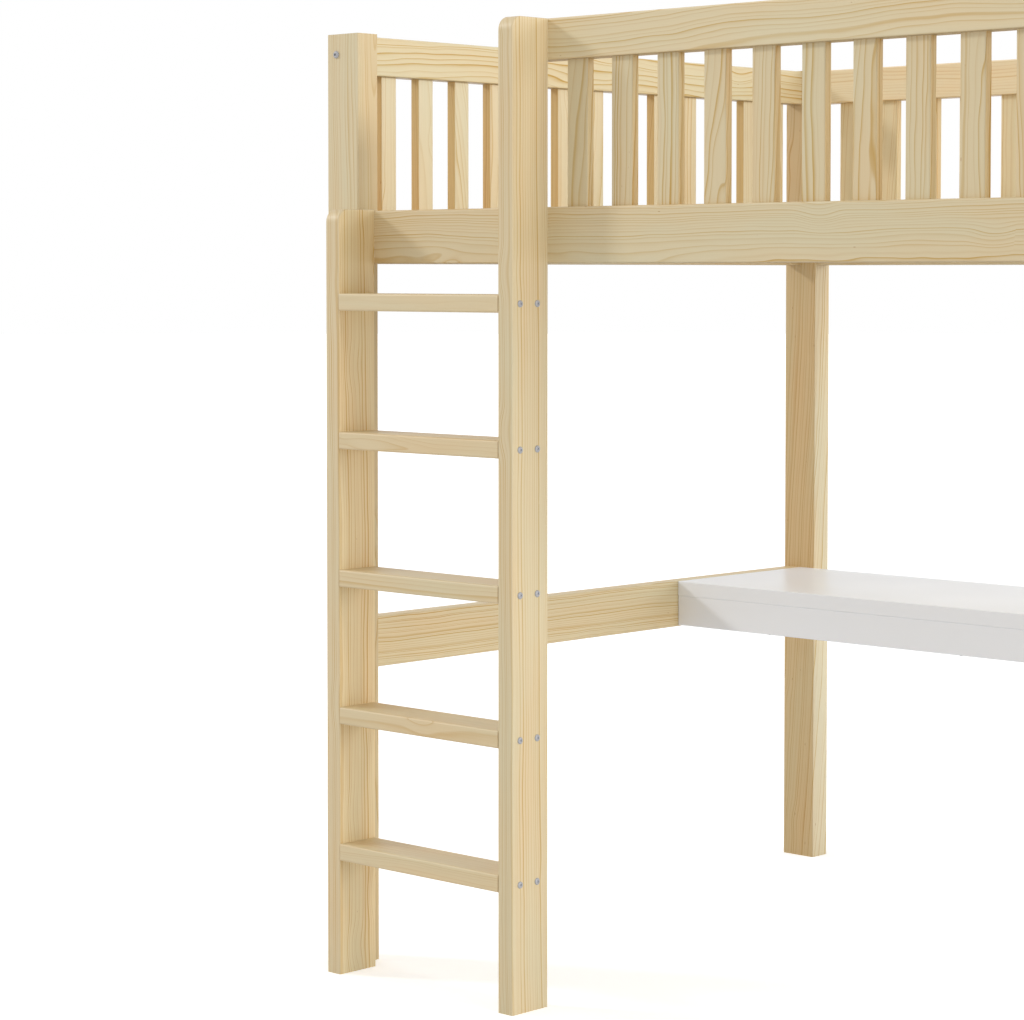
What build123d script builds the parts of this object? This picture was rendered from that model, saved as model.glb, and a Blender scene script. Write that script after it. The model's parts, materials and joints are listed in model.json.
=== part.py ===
from build123d import *
import os

# Loft bed in solid pine with a ladder on its front and a white desk along its back.
# Millimetres. +X runs along the bed to the right, +Y runs back to the wall, +Z is up.
# The origin is on the floor, midway between the bed's ends, and midway between the ladder's
# front and the bolt heads at the back.

# Overall size
bed_length = 2110.0
bed_depth = 1514.0
bed_rail_top = 1492.0
guard_opening = 270.0

# Posts and rails
post_width = 87.0
post_depth = 54.0
post_above_guard = 1.5
rail_thickness = 40.0
rail_recess = 6.0
bed_rail_height = 104.0
guard_rail_height = 77.0
desk_rail_height = 101.5
board_round = 3.5
post_round = 2.5

# Guard slats
side_slat_width = 51.0
side_slat_thickness = 18.0
end_slat_width = 41.5
end_slat_thickness = 23.0
front_slat_spacing = 108.7
back_slat_spacing = 110.8
end_slat_spacing = 104.0
front_slat_margin = 38.5
back_slat_margin = 56.0
end_slat_margin = 58.0
slat_round = 3.0
tenon_length = 12.0
tenon_clearance = 0.25

# Ladder
stile_thickness = 37.0
stile_width = 95.0
stile_top_round = 25.0
stile_gap = 2.0
stile_above_rail = 2.0
ladder_opening = 427.0
rung_count = 5
rung_thickness = 33.5
rung_round = 4.0
first_rung_top = 257.5
top_rung_drop = 161.5
rung_screw_from_front = 21.0
rung_screw_spacing = 46.0
rung_screw_length = 80.0

# Desk
desk_height = 681.0
desk_depth = 441.0
desk_top_thickness = 32.0
desk_apron_height = 66.5
desk_apron_thickness = 22.0
desk_apron_setback = 1.0
desk_end_clearance = 1.0
desk_round = 1.5
desk_screw_count = 4
batten_screw_count = 3
batten_screw_length = 50.0

# Bed base
ledger_width = 30.0
ledger_height = 30.0
base_slat_count = 13
base_slat_width = 90.0
base_slat_thickness = 20.0
base_slat_drop = 14.0
base_clearance = 2.0
beam_width = 45.0
beam_height = 58.0
hanger_thickness = 2.5
hanger_lip = 26.0
hanger_screw_count = 2
ledger_screw_count = 7
ledger_screw_length = 55.0
base_screw_length = 32.0
hanger_screw_length = 30.0

# Fasteners
bolt_diameter = 6.0
bolt_head_diameter = 13.0
bolt_head_height = 4.0
bolt_grip = 46.0
nut_diameter = 10.0
nut_length = 16.0
nut_from_post = 38.0
dowel_diameter = 10.0
dowel_length = 60.0
dowel_in_post = 28.0
screw_diameter = 5.0
screw_head_diameter = 11.5
screw_head_height = 2.5
small_screw_diameter = 4.0
small_head_diameter = 8.0
small_head_height = 2.0
head_roundness = 0.8
hole_clearance = 0.3
end_clearance = 1.0
stile_screw_length = 100.0

# Heights of the fasteners, measured from the middle of each rail
end_rail_bolts = (-36.0, 36.0)
side_rail_bolts = (-24.0, 24.0)
end_guard_bolts = (0.0,)
side_guard_bolts = (-17.0,)
desk_rail_bolts = (-26.0, 26.0)
bed_rail_dowels = (0.0,)
guard_dowels = (22.0,)
guard_screw_offset = 12.0

# Places worked out from the sizes above
guard_rail_top = bed_rail_top + guard_opening + guard_rail_height
post_height = guard_rail_top + post_above_guard
ladder_projection = stile_width - rail_recess
outer_x = bed_length / 2
back_y = (bed_depth + ladder_projection - bolt_head_height) / 2
front_y = back_y - bed_depth
inner_post_x = outer_x - post_width
front_post_back = front_y + post_depth
back_post_front = back_y - post_depth
rail_outer_x = outer_x - rail_recess
rail_inner_x = rail_outer_x - rail_thickness
front_rail_face = front_y + rail_recess
front_rail_inner = front_rail_face + rail_thickness
back_rail_face = back_y - rail_recess
back_rail_inner = back_rail_face - rail_thickness
bed_rail_bottom = bed_rail_top - bed_rail_height
guard_rail_bottom = guard_rail_top - guard_rail_height
desk_rail_bottom = desk_height - desk_rail_height
bed_rail_middle = bed_rail_top - bed_rail_height / 2
guard_rail_middle = guard_rail_top - guard_rail_height / 2
desk_rail_middle = desk_height - desk_rail_height / 2
sink_depth = small_head_height + hole_clearance
left_stile_x = stile_gap - inner_post_x
right_stile_x = left_stile_x + stile_thickness + ladder_opening
stile_front = front_rail_face - stile_width
base_top = bed_rail_top - base_slat_drop
ledger_top = base_top - base_slat_thickness
middle_y = (front_y + back_y) / 2
desk_front = back_post_front - desk_depth
desk_under = desk_height - desk_top_thickness
rung_spacing = (bed_rail_top - top_rung_drop - first_rung_top) / (rung_count - 1)

MIN3 = (Align.MIN, Align.MIN, Align.MIN)
STAND = (Align.CENTER, Align.CENTER, Align.MIN)


def block(low, high):
    """A plain box between two opposite corners."""
    size = [b - a for a, b in zip(low, high)]
    return Pos(*low) * Box(*size, align=MIN3)


def board(low, high, along, radius):
    """A planed board whose four long edges are rounded."""
    raw = block(low, high)
    return fillet(raw.edges().filter_by(along), radius)


def rod(start, direction, length, diameter):
    """A round rod, or the cutter for a round hole, from a point along a direction."""
    return Plane(origin=start, z_dir=direction) * Cylinder(diameter / 2, length, align=STAND)


def headed(start, direction, length, diameter, head_diameter, head_height):
    """A bolt or screw whose domed head sits on a face and whose shank runs into it."""
    head = Cylinder(head_diameter / 2, head_height, align=STAND)
    crown = head.edges().sort_by(Axis.Z)[-1]
    head = fillet(crown, head_height * head_roundness)
    shank = Cylinder(diameter / 2, length, align=STAND)
    piece = head + Pos(0, 0, -length) * shank
    away = [-d for d in direction]
    return Plane(origin=start, z_dir=away) * piece


def spread(low, high, width, margin, spacing):
    """Lower edges of equal slats that fill a field at about the wanted spacing."""
    span = high - low - width - 2 * margin
    gaps = round(span / spacing)
    return [low + margin + span * i / gaps for i in range(gaps + 1)]


def evenly(low, high, count):
    """Middles of a number of pieces spaced evenly across a length, half a step from each end."""
    step = (high - low) / count
    return [low + step * (i + 0.5) for i in range(count)]


def cut(piece, cutters):
    """The piece less every cutter, if there are any."""
    return piece - cutters if cutters else piece


made = {}
cuts = {}
groups = {}


def add(name, piece):
    made[name] = piece


def add_cut(name, cutter):
    cuts.setdefault(name, []).append(cutter)


def add_to_group(name, piece):
    groups.setdefault(name, []).append(piece)


def bolt_through(post, rail, start, direction, through, nut_start, nut_direction):
    """One bolt through a post into a barrel nut that crosses it inside the rail's end."""
    length = through + bolt_grip
    hole = rod(start, direction, length + end_clearance, bolt_diameter + hole_clearance)
    add_cut(post, hole)
    add_cut(rail, hole)
    reach = through + nut_from_post
    seat = [s + d * reach for s, d in zip(start, direction)]
    nut_depth = sum((s - n) * d for s, n, d in zip(seat, nut_start, nut_direction))
    pocket_length = nut_depth + nut_length / 2 + end_clearance
    add_cut(rail, rod(nut_start, nut_direction, pocket_length, nut_diameter + hole_clearance))
    nut_low = [s - d * nut_length / 2 for s, d in zip(seat, nut_direction)]
    nut = rod(nut_low, nut_direction, nut_length, nut_diameter)
    add_to_group("barrel_nuts", nut - rod(start, direction, length, bolt_diameter + hole_clearance))
    bolt = headed(start, direction, length, bolt_diameter, bolt_head_diameter, bolt_head_height)
    add_to_group("frame_bolts", bolt)


def dowel_between(post, rail, face_point, direction):
    """One wooden dowel that sits partly in the post and partly in the rail's end."""
    low = [p - d * dowel_in_post for p, d in zip(face_point, direction)]
    hole_low = [a - d * end_clearance for a, d in zip(low, direction)]
    hole_length = dowel_length + 2 * end_clearance
    hole = rod(hole_low, direction, hole_length, dowel_diameter + hole_clearance)
    add_cut(post, hole)
    add_cut(rail, hole)
    add_to_group("dowels", rod(low, direction, dowel_length, dowel_diameter))


def join_end_rail(side, rail, middle, bolts, dowels):
    """Both ends of a rail that runs front to back, bolted through the two posts of one end."""
    word = "left" if side < 0 else "right"
    x = side * (rail_outer_x - rail_thickness / 2)
    nut_x = side * rail_outer_x
    for post_name, face, inner, toward in (
        (f"post_front_{word}", front_y, front_post_back, 1),
        (f"post_back_{word}", back_y, back_post_front, -1),
    ):
        run = (0, toward, 0)
        nut_y = inner + toward * nut_from_post
        for z in (middle + offset for offset in bolts):
            nut_start = (nut_x, nut_y, z)
            bolt_through(post_name, rail, (x, face, z), run, post_depth, nut_start, (-side, 0, 0))
        for z in (middle + offset for offset in dowels):
            dowel_between(post_name, rail, (x, inner, z), run)


def join_side_rail(row, rail, middle, bolts, dowels, ends=(-1, 1)):
    """The ends of a rail that runs along the bed, bolted through the posts of one long side."""
    face = front_rail_face if row == "front" else back_rail_inner
    y = face + rail_thickness / 2
    nut_y = face + rail_thickness
    for side in ends:
        post_name = f"post_{row}_left" if side < 0 else f"post_{row}_right"
        run = (-side, 0, 0)
        nut_x = side * (inner_post_x - nut_from_post)
        for z in (middle + offset for offset in bolts):
            start = (side * outer_x, y, z)
            bolt_through(post_name, rail, start, run, post_width, (nut_x, nut_y, z), (0, -1, 0))
        for z in (middle + offset for offset in dowels):
            dowel_between(post_name, rail, (side * inner_post_x, y, z), run)


def make_posts():
    """Four corner posts, square cut at both ends."""
    for side, word in ((-1, "left"), (1, "right")):
        x_low = min(side * outer_x, side * inner_post_x)
        for row, y_low in (("front", front_y), ("back", back_post_front)):
            low = (x_low, y_low, 0)
            high = (x_low + post_width, y_low + post_depth, post_height)
            add(f"post_{row}_{word}", board(low, high, Axis.Z, post_round))


def make_end_rails():
    """At each end, a bed rail, a guard rail and a desk rail between the two posts."""
    rails = (
        ("end_rail", bed_rail_bottom, bed_rail_top, end_rail_bolts, bed_rail_dowels),
        ("guard_rail", guard_rail_bottom, guard_rail_top, end_guard_bolts, guard_dowels),
        ("desk_rail", desk_rail_bottom, desk_height, desk_rail_bolts, bed_rail_dowels),
    )
    for side, word in ((-1, "left"), (1, "right")):
        x_low = min(side * rail_outer_x, side * rail_inner_x)
        for kind, bottom, top, bolts, dowels in rails:
            name = f"{kind}_{word}"
            low = (x_low, front_post_back, bottom)
            high = (x_low + rail_thickness, back_post_front, top)
            add(name, board(low, high, Axis.Y, board_round))
            join_end_rail(side, name, (bottom + top) / 2, bolts, dowels)


def make_side_rails():
    """Bed rails along both long sides, a guard rail behind, and a shorter one in front."""
    for row, face in (("front", front_rail_face), ("back", back_rail_inner)):
        low = (-inner_post_x, face, bed_rail_bottom)
        high = (inner_post_x, face + rail_thickness, bed_rail_top)
        add(f"side_rail_{row}", board(low, high, Axis.X, board_round))
        join_side_rail(row, f"side_rail_{row}", bed_rail_middle, side_rail_bolts, bed_rail_dowels)
    low = (-inner_post_x, back_rail_inner, guard_rail_bottom)
    high = (inner_post_x, back_rail_face, guard_rail_top)
    add("guard_rail_back", board(low, high, Axis.X, board_round))
    join_side_rail("back", "guard_rail_back", guard_rail_middle, side_guard_bolts, guard_dowels)
    low = (right_stile_x, front_rail_face, guard_rail_bottom)
    high = (inner_post_x, front_rail_inner, guard_rail_top)
    add("guard_rail_front", board(low, high, Axis.X, board_round))
    join_side_rail("front", "guard_rail_front", guard_rail_middle, side_guard_bolts, guard_dowels, (1,))


def make_slat(group, low, high, top_rail, bottom_rail):
    """One guard slat with a tenon into the rail above and the rail below it."""
    bottom = bed_rail_top - tenon_length
    top = guard_rail_bottom + tenon_length
    slat = board((*low, bottom), (*high, top), Axis.Z, slat_round)
    add_to_group(group, slat)
    wide_low = [a - tenon_clearance for a in low]
    wide_high = [a + tenon_clearance for a in high]
    pocket = block((*wide_low, bottom - end_clearance), (*wide_high, top + end_clearance))
    add_cut(top_rail, pocket)
    add_cut(bottom_rail, pocket)


def make_side_slats(row, face, field_low, margin, spacing):
    """The guard slats of one long side."""
    y_low = face + (rail_thickness - side_slat_thickness) / 2
    for x in spread(field_low, inner_post_x, side_slat_width, margin, spacing):
        low = (x, y_low)
        high = (x + side_slat_width, y_low + side_slat_thickness)
        make_slat(f"guard_slats_{row}", low, high, f"guard_rail_{row}", f"side_rail_{row}")


def make_end_slats(side, word):
    """The guard slats of one end."""
    x_middle = side * (rail_outer_x - rail_thickness / 2)
    x_low = x_middle - end_slat_thickness / 2
    field = (front_post_back, back_post_front)
    for y in spread(*field, end_slat_width, end_slat_margin, end_slat_spacing):
        low = (x_low, y)
        high = (x_low + end_slat_thickness, y + end_slat_width)
        make_slat(f"guard_slats_{word}", low, high, f"guard_rail_{word}", f"end_rail_{word}")


def make_stile(name, x_low, top):
    """One ladder upright: a board set edge-on, with its front top corner rounded off."""
    low = (x_low, stile_front, 0)
    high = (x_low + stile_thickness, front_rail_face, top)
    raw = block(low, high)
    front_top = raw.edges().filter_by(Axis.X).sort_by(Axis.Z)[-2:].sort_by(Axis.Y)[0]
    raw = fillet(front_top, stile_top_round)
    front_edges = raw.edges().filter_by(Axis.Z).group_by(Axis.Y)[0]
    add(name, fillet(front_edges, board_round))


def stile_screw(stile, rail, x, z):
    """One screw from the bed side, through a rail and into a stile's back edge."""
    start = (x + stile_thickness / 2, front_rail_inner, z)
    toward = (0, -1, 0)
    hole = rod(start, toward, stile_screw_length + end_clearance, screw_diameter + hole_clearance)
    add_cut(stile, hole)
    add_cut(rail, hole)
    screw = headed(start, toward, stile_screw_length, screw_diameter, screw_head_diameter,
                   screw_head_height)
    add_to_group("stile_screws", screw)


def make_ladder():
    """A short stile by the post, a tall stile that also ends the guard, and the rungs."""
    make_stile("ladder_stile_left", left_stile_x, bed_rail_top + stile_above_rail)
    make_stile("ladder_stile_right", right_stile_x, guard_rail_top)
    ledger_bottom = ledger_top - ledger_height
    below_ledger = (bed_rail_bottom + ledger_bottom) / 2
    above_ledger = (ledger_top + bed_rail_top) / 2
    for z in (below_ledger, above_ledger):
        stile_screw("ladder_stile_left", "side_rail_front", left_stile_x, z)
        stile_screw("ladder_stile_right", "side_rail_front", right_stile_x, z)
    for z in (guard_rail_middle - guard_screw_offset, guard_rail_middle + guard_screw_offset):
        stile_screw("ladder_stile_right", "guard_rail_front", right_stile_x, z)
    for i in range(rung_count):
        top = first_rung_top + i * rung_spacing
        make_rung(f"rung_{i + 1}", top)


def make_rung(name, top):
    """One flat rung, as deep as the stiles, held by two screws at each end."""
    x_low = left_stile_x + stile_thickness
    x_high = right_stile_x
    low = (x_low, stile_front, top - rung_thickness)
    add(name, board(low, (x_high, front_rail_face, top), Axis.X, rung_round))
    z = top - rung_thickness / 2
    first_y = stile_front + rung_screw_from_front
    for y in (first_y, first_y + rung_screw_spacing):
        for stile, x, toward in (
            ("ladder_stile_left", left_stile_x, 1),
            ("ladder_stile_right", right_stile_x + stile_thickness, -1),
        ):
            start = (x, y, z)
            run = (toward, 0, 0)
            depth = rung_screw_length + end_clearance
            hole = rod(start, run, depth, screw_diameter + hole_clearance)
            add_cut(stile, hole)
            add_cut(name, hole)
            screw = headed(start, run, rung_screw_length, screw_diameter, screw_head_diameter,
                           screw_head_height)
            add_to_group("rung_screws", screw)


def small_screw(group, holders, start, direction, length):
    """A small screw, with its pilot hole in each piece it holds."""
    hole = rod(start, direction, length + end_clearance, small_screw_diameter + hole_clearance)
    for name in holders:
        add_cut(name, hole)
    screw = headed(start, direction, length, small_screw_diameter, small_head_diameter,
                   small_head_height)
    add_to_group(group, screw)


def sunk_screw(group, holders, start, direction, length):
    """A small screw whose head lies in a counterbore, just under the face that it starts from."""
    bore_diameter = small_head_diameter + hole_clearance
    add_cut(holders[0], rod(start, direction, sink_depth, bore_diameter))
    seat = [s + d * sink_depth for s, d in zip(start, direction)]
    small_screw(group, holders, seat, direction, length)


def make_desk():
    """The desk top, with an apron under its front and back edges and a batten at each end."""
    half = rail_inner_x - desk_end_clearance
    low = (-half, desk_front, desk_under)
    add("desk_top", board(low, (half, back_post_front, desk_height), Axis.X, desk_round))
    bottom = desk_under - desk_apron_height
    front_face = desk_front + desk_apron_setback
    back_face = back_post_front - desk_apron_setback - desk_apron_thickness
    for row, y in (("front", front_face), ("back", back_face)):
        low = (-half, y, bottom)
        high = (half, y + desk_apron_thickness, desk_under)
        add(f"desk_apron_{row}", board(low, high, Axis.X, desk_round))
        for x in evenly(-half, half, desk_screw_count):
            start = (x, y + desk_apron_thickness / 2, bottom)
            holders = (f"desk_apron_{row}", "desk_top")
            length = desk_apron_height + desk_top_thickness / 2
            small_screw("desk_screws", holders, start, (0, 0, 1), length)
    for side, word in ((-1, "left"), (1, "right")):
        make_desk_batten(side, word, half, front_face + desk_apron_thickness, back_face, bottom)


def make_desk_batten(side, word, half, y_low, y_high, bottom):
    """The batten that carries one end of the desk on the desk rail beside it."""
    x_low = min(side * half, side * (half - desk_apron_thickness))
    low = (x_low, y_low, bottom)
    high = (x_low + desk_apron_thickness, y_high, desk_under)
    name = f"desk_batten_{word}"
    add(name, board(low, high, Axis.Y, desk_round))
    inner = side * (half - desk_apron_thickness)
    z = (max(bottom, desk_rail_bottom) + desk_under) / 2
    for y in evenly(y_low, y_high, batten_screw_count):
        start = (inner, y, z)
        small_screw("desk_screws", (name, f"desk_rail_{word}"), start, (side, 0, 0), batten_screw_length)


def make_base():
    """Ledgers along both bed rails, a beam down the middle in steel hangers, and the slats."""
    x_end = inner_post_x - base_clearance
    bottom = ledger_top - ledger_height
    base_screw_tip = base_top - sink_depth - base_screw_length
    screw_z = (bottom + base_screw_tip) / 2
    ledgers = (
        ("front", front_rail_inner, front_rail_inner + ledger_width, 1),
        ("back", back_rail_inner - ledger_width, back_rail_inner, -1),
    )
    for row, y_low, y_high, inward in ledgers:
        name = f"ledger_{row}"
        low = (-x_end, y_low, bottom)
        add(name, board(low, (x_end, y_high, ledger_top), Axis.X, slat_round))
        face = y_high if inward > 0 else y_low
        for x in evenly(-x_end, x_end, ledger_screw_count):
            start = (x, face, screw_z)
            run = (0, -inward, 0)
            small_screw("ledger_screws", (name, f"side_rail_{row}"), start, run, ledger_screw_length)
    beam_end = rail_inner_x - hanger_thickness - base_clearance
    low = (-beam_end, middle_y - beam_width / 2, ledger_top - beam_height)
    high = (beam_end, middle_y + beam_width / 2, ledger_top)
    add("centre_beam", board(low, high, Axis.X, slat_round))
    for side, word in ((-1, "left"), (1, "right")):
        make_hanger(side, word)
    make_base_slats()


def make_hanger(side, word):
    """A bent steel stirrup, screwed to an end rail, that holds one end of the centre beam."""
    t = hanger_thickness
    wide = beam_width / 2 + base_clearance / 2
    floor = ledger_top - beam_height
    outer = rail_inner_x
    inner = rail_inner_x - t - base_clearance - hanger_lip
    top = ledger_top - base_clearance
    back = block((inner, middle_y - wide - t, floor - t), (outer, middle_y + wide + t, top))
    room_low = (inner - base_clearance, middle_y - wide, floor)
    room = block(room_low, (outer - t, middle_y + wide, top + base_clearance))
    stirrup = back - room
    if side < 0:
        stirrup = mirror(stirrup, about=Plane.YZ)
    name = f"beam_hanger_{word}"
    add(name, stirrup)
    for z in evenly(floor, ledger_top, hanger_screw_count):
        start = (side * (outer - t), middle_y, z)
        holders = (name, f"end_rail_{word}")
        small_screw("hanger_screws", holders, start, (side, 0, 0), hanger_screw_length)
        recess_depth = small_head_height + base_clearance
        recess_diameter = small_head_diameter + base_clearance
        add_cut("centre_beam", rod(start, (-side, 0, 0), recess_depth, recess_diameter))


def make_base_slats():
    """The mattress slats, clear of the posts and screw heads, on both ledgers and the beam."""
    y_low = max(front_post_back, front_rail_inner + screw_head_height) + base_clearance
    y_high = min(back_post_front, back_rail_inner - screw_head_height) - base_clearance
    ledger_middle = ledger_width / 2
    screw_rows = (
        (front_rail_inner + ledger_middle, "ledger_front"),
        (middle_y, "centre_beam"),
        (back_rail_inner - ledger_middle, "ledger_back"),
    )
    for i, x in enumerate(evenly(-rail_inner_x, rail_inner_x, base_slat_count)):
        name = f"base_slat_{i + 1:02d}"
        low = (x - base_slat_width / 2, y_low, ledger_top)
        high = (x + base_slat_width / 2, y_high, base_top)
        add(name, board(low, high, Axis.Y, slat_round))
        for y, holder in screw_rows:
            start = (base_screw_x(x), y, base_top)
            sunk_screw("base_screws", (name, holder), start, (0, 0, -1), base_screw_length)


def base_screw_x(x):
    """A slat's middle, moved in just enough to land on the ledgers, which stop at the posts."""
    reach = inner_post_x - base_clearance - small_head_diameter
    return max(-reach, min(reach, x))


make_posts()
make_end_rails()
make_side_rails()
front_field = right_stile_x + stile_thickness
make_side_slats("front", front_rail_face, front_field, front_slat_margin, front_slat_spacing)
make_side_slats("back", back_rail_inner, -inner_post_x, back_slat_margin, back_slat_spacing)
make_end_slats(-1, "left")
make_end_slats(1, "right")
make_ladder()
make_desk()
make_base()

os.makedirs("parts", exist_ok=True)
for name, piece in made.items():
    export_step(cut(piece, cuts.get(name)), f"parts/{name}.step")
for name, pieces in groups.items():
    export_step(Compound(children=pieces), f"parts/{name}.step")
print(len(made) + len(groups), "nodes,", sum(len(g) for g in groups.values()), "grouped solids")
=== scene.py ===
import bpy
import json
import numpy as np
from math import cos, pi, radians
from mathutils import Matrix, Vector


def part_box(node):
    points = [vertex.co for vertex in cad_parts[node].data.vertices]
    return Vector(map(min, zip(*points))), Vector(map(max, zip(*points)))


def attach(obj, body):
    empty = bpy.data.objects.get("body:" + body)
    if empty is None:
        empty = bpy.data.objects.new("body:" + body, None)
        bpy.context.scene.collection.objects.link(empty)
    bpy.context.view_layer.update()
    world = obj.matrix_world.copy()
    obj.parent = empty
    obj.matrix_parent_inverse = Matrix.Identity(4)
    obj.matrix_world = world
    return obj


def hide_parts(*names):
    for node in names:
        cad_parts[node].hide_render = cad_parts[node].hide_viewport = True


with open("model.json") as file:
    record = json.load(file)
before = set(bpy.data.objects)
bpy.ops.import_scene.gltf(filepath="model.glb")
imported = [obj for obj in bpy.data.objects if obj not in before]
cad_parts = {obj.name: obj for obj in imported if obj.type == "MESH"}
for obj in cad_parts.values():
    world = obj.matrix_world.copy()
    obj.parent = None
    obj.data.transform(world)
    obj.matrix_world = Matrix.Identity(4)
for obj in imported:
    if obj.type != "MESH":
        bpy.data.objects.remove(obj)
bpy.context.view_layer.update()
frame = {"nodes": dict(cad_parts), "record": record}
nodes = frame["nodes"]
print("frame loaded:", len(nodes), "nodes")


# Camera: it looks down a little, and a small shift does the rest, so the posts look upright.
viewpoint = {
    "rightOfPost": 4.2756,  # metres from the front left post's outer front corner
    "frontOfPost": 3.9540,
    "height": 1.3709,
    "turn": 43.642,  # degrees
    "tilt": 2.444,
    "lens": 102.78,  # millimetres
    "sensor": 36,
    "shift": -0.11,
    "farClip": 200,
}


def addCamera():
    low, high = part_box("post_front_left")
    data = bpy.data.cameras.new("camera")
    data.lens = viewpoint["lens"]
    data.sensor_width = viewpoint["sensor"]
    data.shift_y = viewpoint["shift"]
    data.clip_end = viewpoint["farClip"]
    camera = bpy.data.objects.new("camera", data)
    x = low.x + viewpoint["rightOfPost"]
    y = low.y - viewpoint["frontOfPost"]
    camera.location = (x, y, viewpoint["height"])
    camera.rotation_euler = (radians(90 - viewpoint["tilt"]), 0, radians(viewpoint["turn"]))
    bpy.context.scene.collection.objects.link(camera)
    bpy.context.scene.camera = camera


addCamera()
print("camera placed")


# Node helpers: a value given to a socket is either another socket or a number.
def wire(tree, value, socket):
    if isinstance(value, bpy.types.NodeSocket):
        tree.links.new(value, socket)
    else:
        socket.default_value = value


def addMath(tree, operation, *values):
    node = tree.nodes.new("ShaderNodeMath")
    node.operation = operation
    for value, socket in zip(values, node.inputs):
        wire(tree, value, socket)
    return node.outputs[0]


def addVectorMath(tree, operation, *values):
    node = tree.nodes.new("ShaderNodeVectorMath")
    node.operation = operation
    for value, socket in zip(values, node.inputs):
        wire(tree, value, socket)
    return node.outputs["Value" if operation == "LENGTH" else "Vector"]


def addNoise(tree, place, scale=1.0, detail=2.0, roughness=0.5):
    node = tree.nodes.new("ShaderNodeTexNoise")
    wire(tree, place, node.inputs["Vector"])
    node.inputs["Scale"].default_value = scale
    node.inputs["Detail"].default_value = detail
    node.inputs["Roughness"].default_value = roughness
    return node


def addStretchedNoise(tree, place, scales, detail=2.0, roughness=0.5):
    return addNoise(tree, addVectorMath(tree, "MULTIPLY", place, scales), 1.0, detail, roughness)


def addCells(tree, place, size, scatter=1.0):
    # Cells of the given size in metres, with one random point in each.
    node = tree.nodes.new("ShaderNodeTexVoronoi")
    node.inputs["Scale"].default_value = 1.0
    node.inputs["Randomness"].default_value = scatter
    scales = tuple(1 / side for side in size)
    wire(tree, addVectorMath(tree, "MULTIPLY", place, scales), node.inputs["Vector"])
    return node.outputs["Distance"], splitVector(tree, node.outputs["Color"])


def addRandom(tree, value):
    node = tree.nodes.new("ShaderNodeTexWhiteNoise")
    node.noise_dimensions = "1D"
    wire(tree, value, node.inputs["W"])
    return node


def addRange(tree, value, fromLow, fromHigh, toLow, toHigh, style="LINEAR"):
    node = tree.nodes.new("ShaderNodeMapRange")
    node.interpolation_type = style
    for part, socket in zip((value, fromLow, fromHigh, toLow, toHigh), node.inputs):
        wire(tree, part, socket)
    return node.outputs[0]


def addColourMix(tree, kind, amount, first, second):
    node = tree.nodes.new("ShaderNodeMix")
    node.data_type = "RGBA"
    node.blend_type = kind
    wire(tree, amount, node.inputs[0])
    for colour, socket in ((first, node.inputs[6]), (second, node.inputs[7])):
        wire(tree, colour if isinstance(colour, bpy.types.NodeSocket) else (*colour, 1), socket)
    return node.outputs[2]


def addRamp(tree, value, stops):
    node = tree.nodes.new("ShaderNodeValToRGB")
    ramp = node.color_ramp
    while len(ramp.elements) < len(stops):
        ramp.elements.new(0.5)
    for element, (position, shade) in zip(ramp.elements, stops):
        element.position = position
        element.color = (shade, shade, shade, 1)
    wire(tree, value, node.inputs[0])
    return node.outputs[0]


def addBump(tree, height, strength, depth):
    node = tree.nodes.new("ShaderNodeBump")
    node.inputs["Strength"].default_value = strength
    node.inputs["Distance"].default_value = depth
    wire(tree, height, node.inputs["Height"])
    return node.outputs[0]


def joinVector(tree, x, y, z):
    node = tree.nodes.new("ShaderNodeCombineXYZ")
    for value, socket in zip((x, y, z), node.inputs):
        wire(tree, value, socket)
    return node.outputs[0]


def splitVector(tree, place):
    node = tree.nodes.new("ShaderNodeSeparateXYZ")
    wire(tree, place, node.inputs[0])
    return node.outputs


# Pine figure: growth rings are tubes round the tree's pith line, cut open by the board's faces.
# A scale of three numbers counts noise cells to the metre, two across the grain and one along it.
rings = {
    "seedSteps": (3.17, 5.71, 7.93),  # how far apart two boards lie in the noises
    "slowBend": (6, 6, 1.7),
    "slowDetail": 1.5,
    "quickBend": (16, 16, 4.5),
    "quickShare": 0.35,
    "unevenScale": 0.55,  # the rings' widths change over about two rings
    "unevenBy": 2.4,
    "shades": ((0, 0.0), (0.5, 0.07), (0.76, 0.42), (0.88, 1.0), (0.95, 0.7), (1, 0.0)),
    "strength": (0.2, 1.25),  # from the faintest ring to the darkest
    "fibre": (620, 620, 9),
    "fibreDetail": 3,
    "fibreRoughness": 0.6,
    "tone": (13, 13, 2.4),
    "toneEdges": (0.35, 0.65),
    "fade": (0.72, 1.15),  # how the tone fades or deepens the lines
}
knots = {
    "cell": (0.10, 0.10, 0.17),
    "scatter": 0.8,
    "reach": 0.42,  # in cells
    "bending": 0.35,  # cells drawn below this don't bend the rings
    "push": 0.011,  # metres that a knot pushes the rings outwards
    "showing": 0.80,  # cells drawn above this show a dark core
    "core": 0.042,  # the largest core, in cells
    "smallest": 0.004,
    "rim": 1.9,
    "colour": (0.28, 0.115, 0.035),
}
flecks = {
    "cell": (0.011, 0.011, 0.045),
    "showing": 0.86,
    "largest": 0.10,
    "smallest": 0.01,
    "soft": 0.5,
    "share": 0.8,
    "colour": (0.40, 0.19, 0.05),
}


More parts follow.
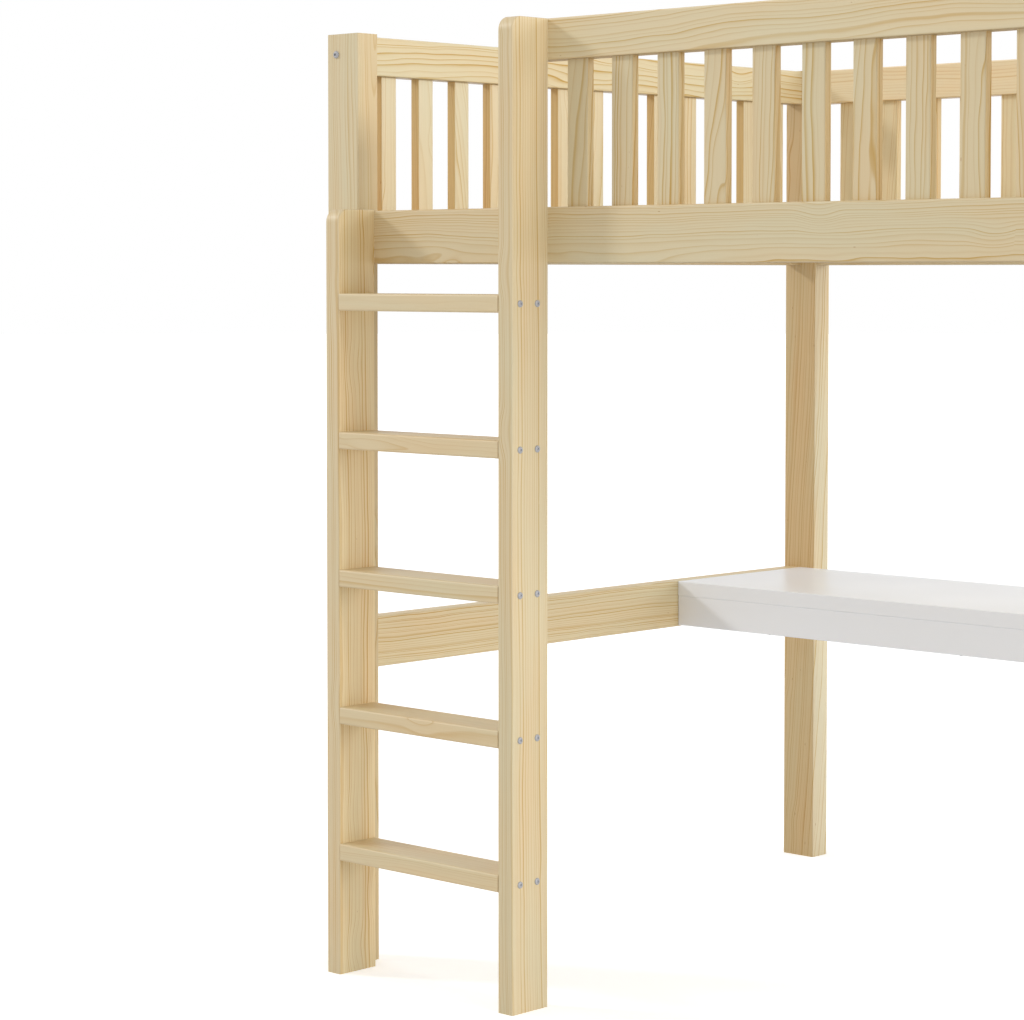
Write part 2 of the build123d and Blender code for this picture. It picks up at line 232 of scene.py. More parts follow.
def bendGrain(tree, given, place):
    # Two noises, a slow one and a weaker quick one, times the board's wander.
    half = (0.5, 0.5, 0.5)
    share = rings["quickShare"]
    slow = addStretchedNoise(tree, place, rings["slowBend"], rings["slowDetail"]).outputs["Color"]
    quick = addStretchedNoise(tree, place, rings["quickBend"]).outputs["Color"]
    slow = addVectorMath(tree, "SUBTRACT", slow, half)
    quick = addVectorMath(tree, "SUBTRACT", quick, half)
    quick = addVectorMath(tree, "MULTIPLY", quick, (share, share, 0))
    wander = joinVector(tree, given["Wander"], given["Wander"], 0.0)
    return addVectorMath(tree, "MULTIPLY", addVectorMath(tree, "ADD", slow, quick), wander)


def pithDistance(tree, given, place):
    # distance = length across the grain of: place - pith + lean * way along the grain + bend
    x, y, z = splitVector(tree, given["Place"])
    drift = addVectorMath(tree, "MULTIPLY", joinVector(tree, z, z, 0.0), given["Lean"])
    across = addVectorMath(tree, "SUBTRACT", joinVector(tree, x, y, 0.0), given["Pith"])
    across = addVectorMath(tree, "ADD", across, drift)
    across = addVectorMath(tree, "ADD", across, bendGrain(tree, given, place))
    return addVectorMath(tree, "LENGTH", across)


def findKnots(tree, place):
    # Each cell draws its own chance: the push bends the rings, and the rarest cells show a core.
    distance, drawn = addCells(tree, place, knots["cell"], knots["scatter"])
    push = addRange(tree, distance, 0.0, knots["reach"], 1.0, 0.0, "SMOOTHERSTEP")
    push = addMath(tree, "MULTIPLY", push, addRange(tree, drawn[0], knots["bending"], 1.0, 0.0, 1.0))
    core = addRange(tree, drawn[0], knots["showing"], 1.0, 0.0, knots["core"])
    rim = addMath(tree, "MULTIPLY", core, knots["rim"])
    knot = addRange(tree, distance, core, rim, 1.0, 0.0, "SMOOTHSTEP")
    knot = addMath(tree, "MULTIPLY", knot, addMath(tree, "GREATER_THAN", core, knots["smallest"]))
    return push, knot


def findFlecks(tree, place):
    distance, drawn = addCells(tree, place, flecks["cell"])
    size = addRange(tree, drawn[1], flecks["showing"], 1.0, 0.0, flecks["largest"])
    inner = addMath(tree, "MULTIPLY", size, flecks["soft"])
    fleck = addRange(tree, distance, inner, size, 1.0, 0.0)
    return addMath(tree, "MULTIPLY", fleck, addMath(tree, "GREATER_THAN", size, flecks["smallest"]))


def ringLines(tree, given, distance):
    # ring number = distance / spacing + slow noise, and each whole ring draws its own strength
    number = addMath(tree, "DIVIDE", distance, given["Spacing"])
    uneven = addNoise(tree, joinVector(tree, number, given["Seed"], 0.0), rings["unevenScale"], 1)
    uneven = addMath(tree, "MULTIPLY", uneven.outputs[0], rings["unevenBy"])
    number = addMath(tree, "ADD", number, uneven)
    line = addRamp(tree, addMath(tree, "FRACT", number), rings["shades"])
    whole = addMath(tree, "ADD", addMath(tree, "FLOOR", number), given["Seed"])
    strength = addRange(tree, addRandom(tree, whole).outputs["Value"], 0.0, 1.0, *rings["strength"])
    return addMath(tree, "MULTIPLY", line, strength)


def buildPineFigure():
    tree = bpy.data.node_groups.new("pineFigure", "ShaderNodeTree")
    wanted = (("Place", "Vector"), ("Pith", "Vector"), ("Lean", "Vector"),
              ("Spacing", "Float"), ("Wander", "Float"), ("Seed", "Float"))
    for name, kind in wanted:
        tree.interface.new_socket(name=name, in_out="INPUT", socket_type="NodeSocket" + kind)
    for name in ("Line", "Fibre", "Tone", "Knot", "Fleck"):
        tree.interface.new_socket(name=name, in_out="OUTPUT", socket_type="NodeSocketFloat")
    given = tree.nodes.new("NodeGroupInput").outputs
    result = tree.nodes.new("NodeGroupOutput").inputs

    steps = [addMath(tree, "MULTIPLY", given["Seed"], step) for step in rings["seedSteps"]]
    place = addVectorMath(tree, "ADD", given["Place"], joinVector(tree, *steps))
    push, knot = findKnots(tree, place)
    distance = addMath(tree, "MULTIPLY_ADD", push, knots["push"], pithDistance(tree, given, place))
    fibre = addStretchedNoise(tree, place, rings["fibre"], rings["fibreDetail"], rings["fibreRoughness"])
    tone = addStretchedNoise(tree, place, rings["tone"])
    fade = addRange(tree, tone.outputs[0], *rings["toneEdges"], *rings["fade"])
    line = addMath(tree, "MULTIPLY", ringLines(tree, given, distance), fade)
    wire(tree, line, result["Line"])
    wire(tree, fibre.outputs[0], result["Fibre"])
    wire(tree, tone.outputs[0], result["Tone"])
    wire(tree, knot, result["Knot"])
    wire(tree, findFlecks(tree, place), result["Fleck"])
    return tree


pineFigure = buildPineFigure()


# Pine finish: pale wood with darker ring lines, under a thin clear coat.
pine = {
    "early": (0.765, 0.638, 0.413),
    "late": (0.53, 0.302, 0.024),
    "cool": (0.965, 1.0, 0.99),
    "warm": (1.02, 0.955, 0.86),
    "toneEdges": (0.3, 0.7),
    "streaks": (-0.05, 0.07),  # what the fibres take from or add to the lines
    "streakEdges": (0.3, 0.7),
    # painted shade: the colour that darkens the rails' downward faces, where little light comes from below
    "under": (0.60, 0.52, 0.42),
    "endGrain": (0.55, 0.38, 0.2),
    "endShare": 0.3,
    "faceEdges": (0.6, 0.95),  # how squarely a face has to look one way to be tinted for it, by painted light and shade or end grain
    "roughness": (0.43, 0.58),
    "roughEdges": (0.2, 0.8),
    "lineGloss": 0.06,
    "specular": 0.5,
    "coat": 0.32,
    "coatRoughness": 0.5,
    "fibreRise": 0.5,
    "lineRise": 0.35,
    "bump": 0.35,
    "grainDepth": 0.00025,
}


def grainPlace(tree, name, axis, row):
    # The board's own coordinates in metres, two across the grain and then one along it, and the
    # slat's number if the node holds a row.
    low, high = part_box(name)
    mapping = tree.nodes.new("ShaderNodeMapping")
    mapping.inputs["Location"].default_value = -(low + high) / 2
    wire(tree, tree.nodes.new("ShaderNodeTexCoord").outputs["Object"], mapping.inputs["Vector"])
    parts = list(splitVector(tree, mapping.outputs[0]))
    index = 0.0
    if row:
        along = "xy".index(row["along"])
        span = high[along] - low[along] - row["width"]
        pitch = span / (row["count"] - 1)
        first = addMath(tree, "ADD", parts[along], (span + pitch) / 2)
        index = addMath(tree, "FLOOR", addMath(tree, "DIVIDE", first, pitch))
        centre = addMath(tree, "SUBTRACT", addMath(tree, "MULTIPLY", index, pitch), span / 2)
        parts[along] = addMath(tree, "SUBTRACT", parts[along], centre)
    order = {"x": (1, 2, 0), "y": (0, 2, 1), "z": (0, 1, 2)}[axis]
    return joinVector(tree, *(parts[i] for i in order)), index


def addSawCut(tree, look, row, index):
    # Where the pith runs past the board. Each slat of a row draws its own pith, lean and spacing.
    cut = {"Pith": (*look["pith"], 0), "Lean": (*look["lean"], 0), "Spacing": look["spacing"],
           "Wander": look["wander"], "Seed": look["seed"]}
    if row:
        half = (0.5, 0.5, 0.0)
        tightest, widest = (look["spacing"] * share for share in slatVariety["spacing"])
        step = addMath(tree, "MULTIPLY", index, slatVariety["seedStep"])
        cut["Seed"] = addMath(tree, "ADD", step, look["seed"])
        drawn = addRandom(tree, cut["Seed"]).outputs["Color"]
        swing = addVectorMath(tree, "SUBTRACT", drawn, half)
        swing = addVectorMath(tree, "MULTIPLY", swing, (*row["swing"], 0))
        cut["Pith"] = addVectorMath(tree, "ADD", swing, cut["Pith"])
        cut["Spacing"] = addRange(tree, splitVector(tree, drawn)[2], 0.0, 1.0, tightest, widest)
        tipSeed = addMath(tree, "ADD", cut["Seed"], slatVariety["tipSeed"])
        tip = addVectorMath(tree, "SUBTRACT", addRandom(tree, tipSeed).outputs["Color"], half)
        cut["Lean"] = addVectorMath(tree, "MULTIPLY", tip, (row["tilt"], row["tilt"], 0))
    return cut


def pineColour(tree, look, axis, figure):
    # The ring lines first, then the drift in tone, knots and flecks, and last what faces which way:
    # painted light and shade on faces that look along an axis, painted shade on downward faces, and the
    # darker end grain.
    amount = addMath(tree, "MULTIPLY", figure["Line"], look["contrast"])
    streak = addRange(tree, figure["Fibre"], *pine["streakEdges"], *pine["streaks"])
    amount = addMath(tree, "ADD", amount, streak)
    clamp = tree.nodes.new("ShaderNodeClamp")
    wire(tree, amount, clamp.inputs[0])
    colour = addColourMix(tree, "MIX", clamp.outputs[0], pine["early"], pine["late"])
    drift = addRange(tree, figure["Tone"], *pine["toneEdges"], 0.0, 1.0)
    colour = addColourMix(tree, "MULTIPLY", 1.0, colour,
                          addColourMix(tree, "MIX", drift, pine["cool"], pine["warm"]))
    colour = addColourMix(tree, "MULTIPLY", 1.0, colour, look["tint"])
    knot = addMath(tree, "MULTIPLY", figure["Knot"], look["knots"])
    colour = addColourMix(tree, "MIX", knot, colour, knots["colour"])
    fleck = addMath(tree, "MULTIPLY", figure["Fleck"], flecks["share"])
    colour = addColourMix(tree, "MIX", fleck, colour, flecks["colour"])

    normal = splitVector(tree, tree.nodes.new("ShaderNodeNewGeometry").outputs["Normal"])
    least, most = pine["faceEdges"]
    # Painted light and shade: each listed axis lightens or darkens the faces that look along it, by how
    # light falls on them.
    for side, tint in look["sides"].items():
        paintedLightMask = addMath(tree, "ABSOLUTE", normal["xyz".index(side)])
        paintedLightMask = addRange(tree, paintedLightMask, least, most, 0.0, 1.0)
        colour = addColourMix(tree, "MULTIPLY", paintedLightMask, colour, tint)
    # Painted shade: the rails' downward faces are darkened, standing in for the little light that reaches
    # them from below.
    if look["under"]:
        below = addRange(tree, normal[2], -least, -most, 0.0, 1.0)
        colour = addColourMix(tree, "MULTIPLY", below, colour, pine["under"])
    end = addMath(tree, "ABSOLUTE", normal["xyz".index(axis)])
    end = addRange(tree, end, least, most, 0.0, pine["endShare"])
    return addColourMix(tree, "MIX", end, colour, pine["endGrain"])


def pineMaterial(name, axis, look, row=None, coat=True):
    material = bpy.data.materials.new("pine_" + name)
    material.use_nodes = True
    tree = material.node_tree
    tree.nodes.clear()
    group = tree.nodes.new("ShaderNodeGroup")
    group.node_tree = pineFigure
    place, index = grainPlace(tree, name, axis, row)
    wire(tree, place, group.inputs["Place"])
    for part, value in addSawCut(tree, look, row, index).items():
        wire(tree, value, group.inputs[part])
    figure = group.outputs

    rough = addRange(tree, figure["Fibre"], *pine["roughEdges"], *pine["roughness"])
    gloss = addMath(tree, "MULTIPLY", figure["Line"], pine["lineGloss"])
    fibreRise = addMath(tree, "MULTIPLY", figure["Fibre"], pine["fibreRise"])
    lineRise = addMath(tree, "MULTIPLY", figure["Line"], pine["lineRise"])
    rise = addMath(tree, "ADD", fibreRise, lineRise)
    shader = tree.nodes.new("ShaderNodeBsdfPrincipled")
    wire(tree, pineColour(tree, look, axis, figure), shader.inputs["Base Color"])
    wire(tree, addMath(tree, "SUBTRACT", rough, gloss), shader.inputs["Roughness"])
    wire(tree, addBump(tree, rise, pine["bump"], pine["grainDepth"]), shader.inputs["Normal"])
    shader.inputs["Specular IOR Level"].default_value = pine["specular"]
    if coat:
        shader.inputs["Coat Weight"].default_value = pine["coat"]
        shader.inputs["Coat Roughness"].default_value = pine["coatRoughness"]
    output = tree.nodes.new("ShaderNodeOutputMaterial")
    tree.links.new(shader.outputs[0], output.inputs[0])
    return material


# Rows of slats: one node holds a whole row, so the row's step tells the slats apart. Swing and
# tilt are how far the pith moves and leans from one slat to the next.
rowsOfSlats = {
    "guard_slats_front": {"count": 13, "width": 0.051, "along": "x", "swing": (0.07, 0.10), "tilt": 0.12},
    "guard_slats_back": {"count": 17, "width": 0.051, "along": "x", "swing": (0.07, 0.10), "tilt": 0.12},
    "guard_slats_left": {"count": 13, "width": 0.0415, "along": "y", "swing": (0.10, 0.07), "tilt": 0.12},
    "guard_slats_right": {"count": 13, "width": 0.0415, "along": "y", "swing": (0.10, 0.07), "tilt": 0.12},
}
slatVariety = {"seedStep": 1.37, "tipSeed": 40.5, "spacing": (0.75, 1.45)}

# How each board was sawn: the pith's place and lean across the grain, and the rings' spacing and
# wander, in metres. Tint multiplies the whole board, and sides only the faces that look that way.
# Sides is painted light and shade: it lightens faces where light falls and darkens faces left in shade.
# Knots is how dark the knots' cores are.
sawn = {
    "side_rail_front": {
        "pith": (0.045, -0.062), "lean": (0.012, 0.008), "spacing": 0.0043,
        "wander": 0.030, "contrast": 0.88, "seed": 4.0,
    },
    "guard_rail_front": {
        "pith": (0.045, -0.06), "lean": (0.008, -0.01), "spacing": 0.0060,
        "wander": 0.036, "contrast": 0.9, "seed": 9.0,
    },
    "guard_rail_left": {
        "pith": (0.08, -0.075), "lean": (0.01, 0.03), "spacing": 0.0078,
        "wander": 0.044, "contrast": 0.95, "seed": 2.0, "tint": (0.93, 0.97, 1.0),
    },
    "guard_rail_back": {
        "pith": (0.03, 0.09), "lean": (0.01, 0.01), "spacing": 0.0062,
        "wander": 0.030, "contrast": 0.5, "seed": 33.0, "tint": (1.22, 1.24, 1.34),
    },
    "end_rail_left": {
        "pith": (0.06, -0.09), "lean": (0.01, 0.02), "spacing": 0.0055,
        "wander": 0.03, "contrast": 0.9, "seed": 15.0,
    },
    "desk_rail_left": {
        "pith": (0.03, 0.08), "lean": (0.01, 0.01), "spacing": 0.0046,
        "wander": 0.026, "contrast": 1.35, "seed": 6.0, "tint": (1.04, 1.05, 1.06),
    },
    "ladder_stile_right": {
        "pith": (-0.055, -0.10), "lean": (0.004, 0.006), "spacing": 0.0050,
        "wander": 0.018, "contrast": 0.76, "seed": 21.0, "sides": {"y": (0.98, 0.98, 0.98)},
    },
    "ladder_stile_left": {
        "pith": (-0.05, -0.095), "lean": (0.006, 0.004), "spacing": 0.0056,
        "wander": 0.024, "contrast": 0.92, "seed": 12.0,
        "sides": {"x": (1.11, 1.10, 1.06), "y": (0.96, 0.95, 0.95)},
    },
    "post_front_left": {
        "pith": (0.08, 0.03), "lean": (0.012, 0.006), "spacing": 0.0055,
        "wander": 0.034, "contrast": 0.75, "seed": 17.0, "sides": {"x": (0.89, 0.855, 0.80)},
    },
    # painted shade: this post's front faces are darkened, standing in for a shadow that falls there
    "post_back_left": {
        "pith": (-0.12, -0.12), "lean": (-0.06, 0.0), "spacing": 0.0062,
        "wander": 0.024, "contrast": 0.95, "seed": 27.0, "knots": 0.0,
        "sides": {"x": (1.0, 1.02, 1.06), "y": (0.85, 0.76, 0.62)},
    },
    # painted shade: the end slats' faces between neighbours are darkened where shade falls
    "guard_slats_left": {
        "spacing": 0.0055, "contrast": 0.6, "tint": (0.95, 0.98, 1.04),
        "sides": {"y": (0.93, 0.74, 0.41)},
    },
    "guard_slats_right": {
        "spacing": 0.0055, "contrast": 0.6, "tint": (0.95, 0.98, 1.04),
        "sides": {"y": (0.93, 0.74, 0.41)},
    },
    "guard_slats_front": {
        "spacing": 0.0088, "wander": 0.048, "contrast": 0.90, "tint": (0.95, 0.95, 0.94),
        "sides": {"x": (1.04, 0.96, 0.80)},
    },
    # painted light: the back row's tint lightens the whole row, standing in for light that reaches it
    "guard_slats_back": {
        "spacing": 0.0080, "wander": 0.044, "contrast": 0.7, "tint": (1.13, 1.14, 1.17),
        "sides": {"x": (1.04, 0.99, 0.86)},
    },
}
anyBoard = {
    "pithX": (0.03, 0.09), "pithY": (-0.08, 0.08), "lean": (-0.02, 0.02),
    "spacing": (0.005, 0.009), "wander": (0.02, 0.035), "contrast": (0.55, 0.85),
    "seed": (30, 90), "tint": (0.96, 1.02), "knots": 0.85, "dice": 11,
}
rungLook = {"contrast": 0.4, "tint": (0.97, 0.95, 0.93)}
dowelLook = {
    "pith": (0.3, 0.2), "lean": (0, 0), "spacing": 0.002, "wander": 0.004, "contrast": 0.3,
    "seed": 5.0, "tint": (1, 1, 1), "knots": 0.0, "sides": {}, "under": False,
}
# Which way the grain runs, by how a node's name starts; all others run along the bed.
grain = {"post": "z", "ladder": "z", "guard_slats": "z", "end_rail": "y", "desk_rail": "y",
         "base_slat": "y", "guard_rail_left": "y", "guard_rail_right": "y"}


def grainAxis(name):
    found = [axis for start, axis in grain.items() if name.startswith(start)]
    return found[0] if found else "x"


def chooseLook(name, dice):
    # Every board draws a saw cut from the dice, and what is described above then replaces it.
    side = dice.choice((-1, 1))
    look = {
        "pith": (side * dice.uniform(*anyBoard["pithX"]), dice.uniform(*anyBoard["pithY"])),
        "lean": (dice.uniform(*anyBoard["lean"]), dice.uniform(*anyBoard["lean"])),
        "spacing": dice.uniform(*anyBoard["spacing"]),
        "wander": dice.uniform(*anyBoard["wander"]),
        "contrast": dice.uniform(*anyBoard["contrast"]),
        "seed": dice.uniform(*anyBoard["seed"]),
        "tint": [dice.uniform(*anyBoard["tint"])] * 3,
        "knots": anyBoard["knots"],
        "sides": {},
        # the rails get painted shade on their downward faces
        "under": name.startswith(("guard_rail", "side_rail", "end_rail")),
    }
    if name.startswith("rung"):
        look.update(rungLook)
    look.update(sawn.get(name, {}))
    return look


def setMaterial(name, material):
    for slot in nodes[name].material_slots:
        slot.material = material


def finishWood(slotOf):
    dice = np.random.RandomState(anyBoard["dice"])
    for name in sorted(nodes):
        slot = slotOf[name]
        if slot in ("lacquered_pine", "bare_pine"):
            look = chooseLook(name, dice)
            coat = slot == "lacquered_pine"
            setMaterial(name, pineMaterial(name, grainAxis(name), look, rowsOfSlats.get(name), coat))
    setMaterial("dowels", pineMaterial("dowels", "x", dowelLook, None, False))


# Desk and metal: two close colours and a spread of gloss in soft patches, with a fine bump.
whiteLacquer = {
    "colours": ((0.935, 0.955, 0.99), (0.925, 0.945, 0.98)),
    "patchScale": 5.0,
    "patchDetail": 3,
    "patchEdges": (0.35, 0.65),
    "roughEdges": (0.3, 0.7),
    "roughness": (0.30, 0.39),
    "bumpScale": 420.0,  # a little orange peel
    "bumpDetail": 2,
    "bump": 0.4,
    "bumpDepth": 0.00006,
    "specular": 0.45,
    "metal": 0.0,
}
zincSteel = {
    "colours": ((0.46, 0.46, 0.478), (0.39, 0.39, 0.408)),
    "patchScale": 900.0,
    "patchDetail": 3,
    "patchEdges": (0.3, 0.7),
    "roughEdges": (0.3, 0.7),
    "roughness": (0.44, 0.62),
    "bumpScale": 900.0,
    "bumpDetail": 3,
    "bump": 0.3,
    "bumpDepth": 0.00003,
    "specular": 0.5,
    "metal": 0.25,  # low, because the plating is dull
}


def patchyMaterial(name, finish):
    material = bpy.data.materials.new(name)
    material.use_nodes = True
    tree = material.node_tree
    shader = tree.nodes["Principled BSDF"]
    place = tree.nodes.new("ShaderNodeTexCoord").outputs["Object"]
    patches = addNoise(tree, place, finish["patchScale"], finish["patchDetail"]).outputs[0]
    texture = addNoise(tree, place, finish["bumpScale"], finish["bumpDetail"]).outputs[0]
    blend = addRange(tree, patches, *finish["patchEdges"], 0.0, 1.0)
    rough = addRange(tree, patches, *finish["roughEdges"], *finish["roughness"])
    wire(tree, addColourMix(tree, "MIX", blend, *finish["colours"]), shader.inputs["Base Color"])
    wire(tree, rough, shader.inputs["Roughness"])
    wire(tree, addBump(tree, texture, finish["bump"], finish["bumpDepth"]), shader.inputs["Normal"])
    shader.inputs["Specular IOR Level"].default_value = finish["specular"]
    shader.inputs["Metallic"].default_value = finish["metal"]
    return material


# Bolts and screws: each is turned about its own axis, and its head has a socket for the key.
# Socket is a share of the head's radius, and grow makes the head wider than the drawn one.
fastener = {
    "frame_bolts": {"piece": "bolts", "steps": 48, "sides": 6, "socket": 0.40, "grow": 1.12},
    "rung_screws": {"piece": "screws_rung", "steps": 48, "sides": 6, "socket": 0.38, "grow": 1.14},
    "stile_screws": {"piece": "screws_stile", "steps": 32, "sides": 6, "socket": 0.38, "grow": 1},
    "desk_screws": {"piece": "screws_desk", "steps": 24, "sides": 4, "socket": 0.36, "grow": 1},
    "ledger_screws": {"piece": "screws_ledger", "steps": 24, "sides": 4, "socket": 0.36, "grow": 1},
    "hanger_screws": {"piece": "screws_hanger", "steps": 24, "sides": 4, "socket": 0.36, "grow": 1},
    "base_screws": {"piece": "screws_base", "steps": 24, "sides": 4, "socket": 0.36, "grow": 1},
}
head = {
    "crown": 6,  # points on the crown's curve
    "edge": 0.06,  # these are shares of the head's height
    "rim": 0.22,
    "mouth": 0.94,
    "floor": 0.35,
    "dish": 0.28,
    "seat": 0.985,  # the seat's share of the head's radius
    "lip": 1.12,  # the lip's share of the socket's radius
    "tip": 0.5,  # the tip's share of the shank's radius
    "crease": 40,  # degrees
    "widest": 0.99,  # corners past this share of the radius are on the drawn head's side
    "below": 0.001,  # and corners this many metres under the seat are on its shank
}


def separateSolids(name):
    # The corners of each solid in a node: corners that share a face end up with the same label.
    # Corners that are equal to the micrometre are one.
    mesh = nodes[name].data
    points = np.empty(len(mesh.vertices) * 3)
    mesh.vertices.foreach_get("co", points)
    spots, index = np.unique(points.reshape(-1, 3).round(6), axis=0, return_inverse=True)
    corners = np.empty(len(mesh.loops), dtype=np.int32)
    mesh.loops.foreach_get("vertex_index", corners)
    faces = index.ravel()[corners].reshape(-1, 3)
    label = np.arange(len(spots))
    settled = False
    while not settled:
        lowest = np.repeat(label[faces].min(axis=1), 3)
        joined = label.copy()
        np.minimum.at(joined, faces.ravel(), lowest)
        settled = bool((joined == label).all())
        label = joined
    return [spots[label == value] for value in np.unique(label)]


def measureFastener(corners):
    # The long way is the axis, and the head is at the end that is wider.
    low, high = corners.min(axis=0), corners.max(axis=0)
    axis = int(np.argmax(high - low))
    middle = (low + high) / 2
    around = np.delete(corners - middle, axis, axis=1)
    radius = np.hypot(around[:, 0], around[:, 1])
    reach = corners[:, axis] - middle[axis]
    side = 1 if radius[reach > 0].max() > radius[reach < 0].max() else -1
    out = reach * side
    seat = out[radius > radius.max() * head["widest"]].min()
    origin = middle.copy()
    origin[axis] += side * seat
    shank = radius[out < seat - head["below"]].max()
    return {"axis": axis, "side": side, "origin": origin, "head": radius.max(), "shank": shank,
            "height": out.max() - seat, "length": seat - out.min()}


def fastenerProfile(size, kind):
    # Radius and height from the shank's tip to the socket's floor; the crown is a quarter of an ellipse.
    thin, tall, long = size["shank"], size["height"], size["length"]
    big = size["head"] * kind["grow"]
    key = big * kind["socket"]
    lip = key * head["lip"]
    t = np.linspace(0, pi / 2, head["crown"])
    crownHeight = tall * (head["rim"] + (1 - head["rim"]) * np.sin(t))
    crown = np.stack((lip + (big - lip) * np.cos(t), crownHeight), -1)
    shank = [(thin * head["tip"], -long), (thin, thin - long), (thin, 0)]
    rim = [(big * head["seat"], 0), (big, tall * head["edge"])]
    socket = [(key, tall * head["mouth"]), (key, tall * head["floor"]), (key / 2, tall * head["dish"])]
    return np.array([*shank, *rim, *crown, *socket])


def turnFastener(size, kind, turn):
    # point = origin + radius(angle) * (cos, sin) across the axis + height along it
    profile = fastenerProfile(size, kind)
    steps = kind["steps"]
    angle = np.linspace(0, 2 * pi, steps, endpoint=False) + turn
    wedge = 2 * pi / kind["sides"]
    flat = cos(wedge / 2) / np.cos((angle - turn) % wedge - wedge / 2)
    socket = np.zeros(len(profile))
    socket[-3:] = 1
    radius = profile[:, :1] * (1 + socket[:, None] * (flat - 1))
    rise = np.broadcast_to(profile[:, 1:], radius.shape)
    across = (size["axis"] + 1) % 3, (size["axis"] + 2) % 3
    circles = np.empty((*radius.shape, 3))
    circles[..., across[0]] = radius * np.cos(angle)
    circles[..., across[1]] = radius * np.sin(angle) * size["side"]
    circles[..., size["axis"]] = rise * size["side"]
    tip, floor = np.zeros(3), np.zeros(3)
    tip[size["axis"]] = -size["length"] * size["side"]
    floor[size["axis"]] = profile[-1, 1] * size["side"]
    points = np.vstack((circles.reshape(-1, 3), tip, floor)) + size["origin"]
    row, step = np.meshgrid(np.arange(len(profile) - 1), np.arange(steps), indexing="ij")
    after = (step + 1) % steps
    walls = np.stack((row * steps + step, row * steps + after, (row + 1) * steps + after,
                      (row + 1) * steps + step), -1).reshape(-1, 4)
    around = np.arange(steps)
    onward = (around + 1) % steps
    last = (len(profile) - 1) * steps
    tipFan = np.stack((np.full(steps, len(points) - 2), onward, around), -1)
    floorFan = np.stack((np.full(steps, len(points) - 1), last + around, last + onward), -1)
    return points, [*walls.tolist(), *tipFan.tolist(), *floorFan.tolist()]


def addFasteners(name, steel):
    kind = fastener[name]
    dice = np.random.RandomState(len(name))
    points, faces, count = [], [], 0
    for corners in separateSolids(name):
        spots, walls = turnFastener(measureFastener(corners), kind, dice.uniform(0, pi))
        points.append(spots)
        faces += [[corner + count for corner in wall] for wall in walls]
        count += len(spots)
    mesh = bpy.data.meshes.new(kind["piece"])
    mesh.from_pydata(np.vstack(points).tolist(), [], faces)
    mesh.shade_smooth()
    mesh.set_sharp_from_angle(angle=radians(head["crease"]))
    mesh.materials.append(steel)
    piece = bpy.data.objects.new(kind["piece"], mesh)
    bpy.context.scene.collection.objects.link(piece)
    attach(piece, "root")
    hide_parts(name)
    return len(points)


slotOf = {row["node"]: row["material_slot"] for row in frame["record"]["subparts"]}
finishOf = {
    "white_lacquer": patchyMaterial("white_lacquer", whiteLacquer),
    "zinc_steel": patchyMaterial("zinc_steel", zincSteel),
}
finishWood(slotOf)
for name, slot in slotOf.items():
    if slot in finishOf:
        setMaterial(name, finishOf[slot])
print("materials done")
for name in fastener:
    print(name, "made:", addFasteners(name, finishOf["zinc_steel"]))


# Lights and floor: soft lights at the left, right and far right, a pale even room and a white floor.
studio = {
    "room": 0.62,
    "left": {"from": (-1.0, -0.574, 0.569), "strength": 0.95, "size": 8, "colour": (1, 1, 1)},
    "right": {"from": (1.0, 0.0, 0.39), "strength": 1.12, "size": 11, "colour": (0.97, 1.0, 1.05)},
    "behind": {"from": (1.0, 0.55, 0.16), "strength": 0.6, "size": 24, "colour": (0.97, 1.0, 1.05)},
}
whiteFloor = {
    "shade": (0.93, 0.93, 0.93),
    "bounce": (0.72, 0.72, 0.73),  # what it sends back up to the bed
    "glow": 0.42,
    "roughness": 0.9,
    "specular": 0.1,
    "radii": (0.0, 2.0, 8.0, 60.0),
    "steps": 96,
}


def addSun(name, light):
    data = bpy.data.lights.new(name, "SUN")
    data.energy = light["strength"]
    data.angle = radians(light["size"])
    data.color = light["colour"]
    sun = bpy.data.objects.new(name, data)
    sun.rotation_euler = Vector(light["from"]).to_track_quat("Z", "Y").to_euler()
    bpy.context.scene.collection.objects.link(sun)


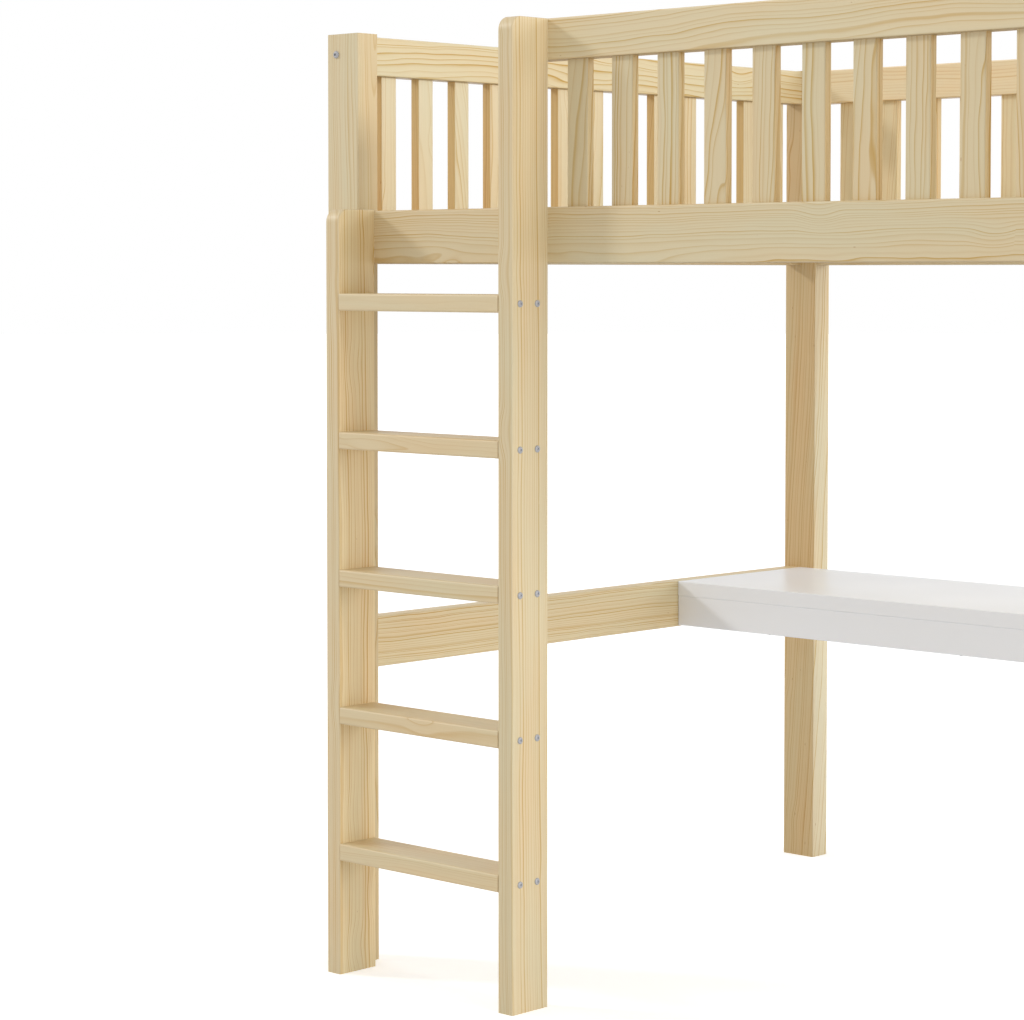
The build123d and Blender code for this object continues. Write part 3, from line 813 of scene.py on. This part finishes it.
def addRoom():
    world = bpy.data.worlds.new("room")
    world.use_nodes = True
    tree = world.node_tree
    tree.nodes.clear()
    soft = tree.nodes.new("ShaderNodeLightPath").outputs["Is Diffuse Ray"]
    back = tree.nodes.new("ShaderNodeBackground")
    back.inputs["Color"].default_value = (1, 1, 1, 1)
    wire(tree, addRange(tree, soft, 0.0, 1.0, 1.0, studio["room"]), back.inputs["Strength"])
    output = tree.nodes.new("ShaderNodeOutputWorld")
    tree.links.new(back.outputs[0], output.inputs[0])
    bpy.context.scene.world = world


def floorMaterial():
    material = bpy.data.materials.new("floor")
    material.use_nodes = True
    tree = material.node_tree
    shader = tree.nodes["Principled BSDF"]
    soft = tree.nodes.new("ShaderNodeLightPath").outputs["Is Diffuse Ray"]
    shade = addColourMix(tree, "MIX", soft, whiteFloor["shade"], whiteFloor["bounce"])
    glow = addRange(tree, soft, 0.0, 1.0, whiteFloor["glow"], 0.0)
    wire(tree, shade, shader.inputs["Base Color"])
    wire(tree, glow, shader.inputs["Emission Strength"])
    shader.inputs["Emission Color"].default_value = (1, 1, 1, 1)
    shader.inputs["Roughness"].default_value = whiteFloor["roughness"]
    shader.inputs["Specular IOR Level"].default_value = whiteFloor["specular"]
    return material


def addFloor():
    # a disc: points at radius r and angle a, for a few growing radii
    steps, radii = whiteFloor["steps"], np.array(whiteFloor["radii"])
    r, a = np.meshgrid(radii, np.linspace(0, 2 * pi, steps, endpoint=False), indexing="ij")
    points = np.stack((r * np.cos(a), r * np.sin(a), 0 * r), -1).reshape(-1, 3)
    ring, step = np.meshgrid(np.arange(len(radii) - 1), np.arange(steps), indexing="ij")
    after = (step + 1) % steps
    near, far = ring * steps, (ring + 1) * steps
    faces = np.stack((near + step, far + step, far + after, near + after), -1).reshape(-1, 4)
    mesh = bpy.data.meshes.new("floor")
    mesh.from_pydata(points.tolist(), [], faces.tolist())
    mesh.materials.append(floorMaterial())
    floor = bpy.data.objects.new("floor", mesh)
    bpy.context.scene.collection.objects.link(floor)


addRoom()
for side in ("left", "right", "behind"):
    addSun(side + "Light", studio[side])
addFloor()
bpy.context.scene.view_settings.view_transform = "Standard"
print("lights and floor done")
